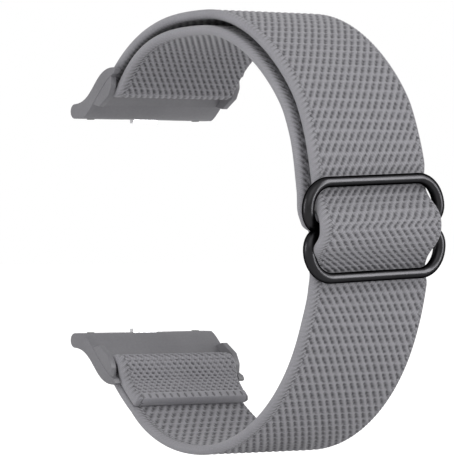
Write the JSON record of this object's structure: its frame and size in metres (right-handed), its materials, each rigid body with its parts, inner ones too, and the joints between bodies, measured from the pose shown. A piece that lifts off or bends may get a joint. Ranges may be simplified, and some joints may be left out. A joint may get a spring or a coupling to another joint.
{
  "type": "nylon watch strap",
  "caption": "Elastic woven nylon watch strap: a closed loop that turns round pins in slide-in metal lugs and is adjusted by a dark wire slider on the far wall.",
  "frame": {"origin": "midway between the axes of the upper and lower slide tongues, at the middle of the strap's width, where the watch sits", "axes": "+X across the strap's width, along the slide tongues; +Y from the wrist towards the watch's face; +Z towards the upper lug"},
  "size_m": [0.029, 0.0676, 0.0733],
  "materials": {
    "webbing": "woven elastic nylon",
    "thread": "sewing thread",
    "lug_paint": "satin",
    "slider_metal": "gloss gunmetal",
    "steel": "satin",
    "dark_screw": "satin",
    "pad": "matte"
  },
  "bodies": {
    "upper_lug": {"upper_lug_body": "lug_paint", "upper_cross_pin": "steel", "upper_latch_springs": "steel", "upper_retainer_plate": "steel", "upper_retainer_screws": "dark_screw", "upper_friction_pads": "pad"},
    "upper_latch": {"upper_latch": "steel"},
    "band": {"webbing_upper_pin_loop": "webbing", "webbing_outer_run": "webbing", "webbing_inner_run": "webbing", "webbing_upper_slack": "webbing", "webbing_lower_slack": "webbing", "webbing_inner_slack": "webbing", "webbing_lower_run": "webbing", "webbing_bottom_bend": "webbing"},
    "slider": {"slider_frame": "slider_metal", "slider_tail_loop": "webbing", "slider_tail_stitches": "thread", "slider_webbing_wave": "webbing"},
    "band_lower": {"webbing_lower_end": "webbing", "webbing_lower_pin_loop": "webbing", "webbing_sewn_tab": "webbing", "tab_stitches": "thread"},
    "lower_lug": {"lower_lug_body": "lug_paint", "lower_cross_pin": "steel", "lower_latch_springs": "steel", "lower_retainer_plate": "steel", "lower_retainer_screws": "dark_screw", "lower_friction_pads": "pad"},
    "lower_latch": {"lower_latch": "steel"}
  },
  "joints": [
    {"name": "upper_latch_press", "type": "slide", "parent": "upper_lug", "child": "upper_latch", "axis": [0, 0, 1], "range_m": [0, 0.0006], "stiffness_N_per_m": 15, "deforming": ["upper_latch_springs"]},
    {"name": "upper_pin_turn", "type": "hinge", "parent": "upper_lug", "child": "band", "pos_m": [0, -0.0091, 0.02395], "axis": [1, 0, 0], "range_deg": [-10, 10]},
    {"name": "slider_travel", "type": "hinge", "parent": "band", "child": "slider", "pos_m": [0, -0.0172, 0], "axis": [1, 0, 0], "range_deg": [-8, 8], "deforming": ["webbing_upper_slack", "webbing_lower_slack", "webbing_inner_slack"]},
    {"name": "bottom_flex", "type": "hinge", "parent": "band", "child": "band_lower", "pos_m": [0, -0.0309, -0.0369], "axis": [1, 0, 0], "range_deg": [-10, 12], "deforming": ["webbing_bottom_bend"]},
    {"name": "lower_pin_turn", "type": "hinge", "parent": "band_lower", "child": "lower_lug", "pos_m": [0, -0.0091, -0.02395], "axis": [1, 0, 0], "range_deg": [-10, 10]},
    {"name": "lower_latch_press", "type": "slide", "parent": "lower_lug", "child": "lower_latch", "axis": [0, 0, -1], "range_m": [0, 0.0006], "stiffness_N_per_m": 15, "deforming": ["lower_latch_springs"]}
  ]
}
